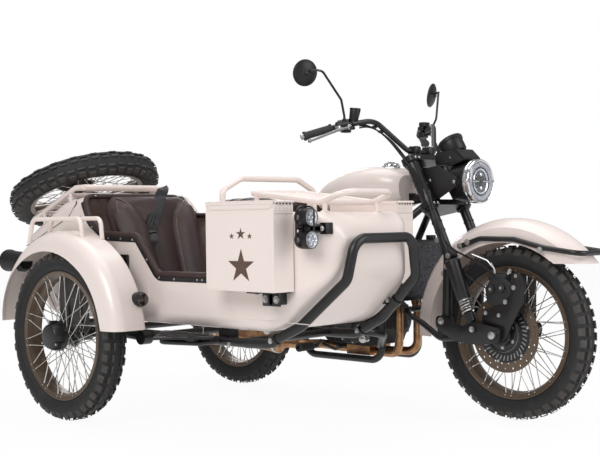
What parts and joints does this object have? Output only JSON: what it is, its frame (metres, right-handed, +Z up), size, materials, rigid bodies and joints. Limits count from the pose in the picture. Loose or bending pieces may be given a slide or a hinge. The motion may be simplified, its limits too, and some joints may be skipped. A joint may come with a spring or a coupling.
{
  "type": "sidecar motorcycle",
  "caption": "Cream motorcycle with a leading-link fork and a right-hand sidecar that carries side boxes, racks and a spare wheel.",
  "frame": {"origin": "middle of the footprint, on the floor under the wheels", "axes": "+X forward, +Y to the rider's left, +Z up; the sidecar is on the -Y side"},
  "size_m": [2.4948, 1.7151, 1.4406],
  "materials": {
    "cream_paint": "satin",
    "black_paint": "satin",
    "bronze_paint": "satin",
    "tyre": "matte",
    "leather": "satin",
    "steel": "satin",
    "chrome": "gloss",
    "copper_pipe": "satin",
    "engine_alloy": "satin",
    "plastic": "matte",
    "rubber": "matte",
    "webbing": "matte"
  },
  "bodies": {
    "chassis": {"main_frame": "black_paint", "engine": "engine_alloy", "radiator": "plastic", "exhaust": "copper_pipe", "fuel_tank": "cream_paint", "tank_cap": "chrome", "saddle": "leather", "side_covers": "cream_paint", "rear_mudguard": "cream_paint", "swing_arm": "black_paint", "rear_shocks": "black_paint", "footpegs": "rubber", "drive_chain": "steel", "lamps": "plastic", "sidecar_frame": "black_paint", "sidecar_struts": "black_paint", "sidecar_arm": "black_paint", "sidecar_tub": "cream_paint", "cockpit_rim": "leather", "seat_back": "leather", "seat_cushion": "leather", "seat_belt": "webbing", "sidecar_mudguard": "cream_paint", "mudguard_rails": "cream_paint", "nose_rack": "cream_paint", "bumper": "black_paint", "outer_box": "cream_paint", "inner_box": "cream_paint", "spot_lamps": "plastic", "step_plate": "black_paint"},
    "trunk": {"trunk_lid": "cream_paint", "tail_rack": "cream_paint", "spare_tyre": "tyre", "spare_rim": "bronze_paint"},
    "steering": {"fork": "black_paint", "leading_link": "black_paint", "fork_shocks": "black_paint", "handlebar": "black_paint", "grips": "rubber", "controls": "plastic", "headlamp": "plastic", "gauge": "plastic", "mirrors": "plastic", "front_mudguard": "cream_paint", "front_rail": "black_paint", "front_caliper": "black_paint"},
    "front_wheel": {"front_tyre": "tyre", "front_rim": "bronze_paint", "front_disc": "bronze_paint"},
    "rear_wheel": {"rear_tyre": "tyre", "rear_rim": "bronze_paint", "rear_sprocket": "steel"},
    "sidecar_wheel": {"sidecar_tyre": "tyre", "sidecar_rim": "bronze_paint", "sidecar_hub_cap": "black_paint"},
    "outer_lid": {"outer_box_lid": "cream_paint"},
    "inner_lid": {"inner_box_lid": "cream_paint"}
  },
  "joints": [
    {"name": "steer", "type": "hinge", "parent": "chassis", "child": "steering", "pos_m": [0.48314, 0.3825, 0.9], "axis": [-0.4415, 0, 0.8973], "range_deg": [-30, 30]},
    {"name": "front_wheel_spin", "type": "hinge", "parent": "steering", "child": "front_wheel", "pos_m": [0.895, 0.3825, 0.34], "axis": [0, 1, 0], "continuous": true},
    {"name": "rear_wheel_spin", "type": "hinge", "parent": "chassis", "child": "rear_wheel", "pos_m": [-0.677, 0.3825, 0.34], "axis": [0, 1, 0], "continuous": true},
    {"name": "sidecar_wheel_spin", "type": "hinge", "parent": "chassis", "child": "sidecar_wheel", "pos_m": [-0.455, -0.7655, 0.34], "axis": [0, 1, 0], "continuous": true},
    {"name": "trunk_hinge", "type": "hinge", "parent": "chassis", "child": "trunk", "pos_m": [-0.589, -0.3465, 0.903], "axis": [0, 1, 0], "range_deg": [0, 50]},
    {"name": "outer_lid_hinge", "type": "hinge", "parent": "chassis", "child": "outer_lid", "pos_m": [0.68, -0.6705, 0.85], "axis": [0, 1, 0], "range_deg": [0, 100]},
    {"name": "inner_lid_hinge", "type": "hinge", "parent": "chassis", "child": "inner_lid", "pos_m": [0.68, -0.0225, 0.85], "axis": [0, 1, 0], "range_deg": [0, 100]}
  ]
}
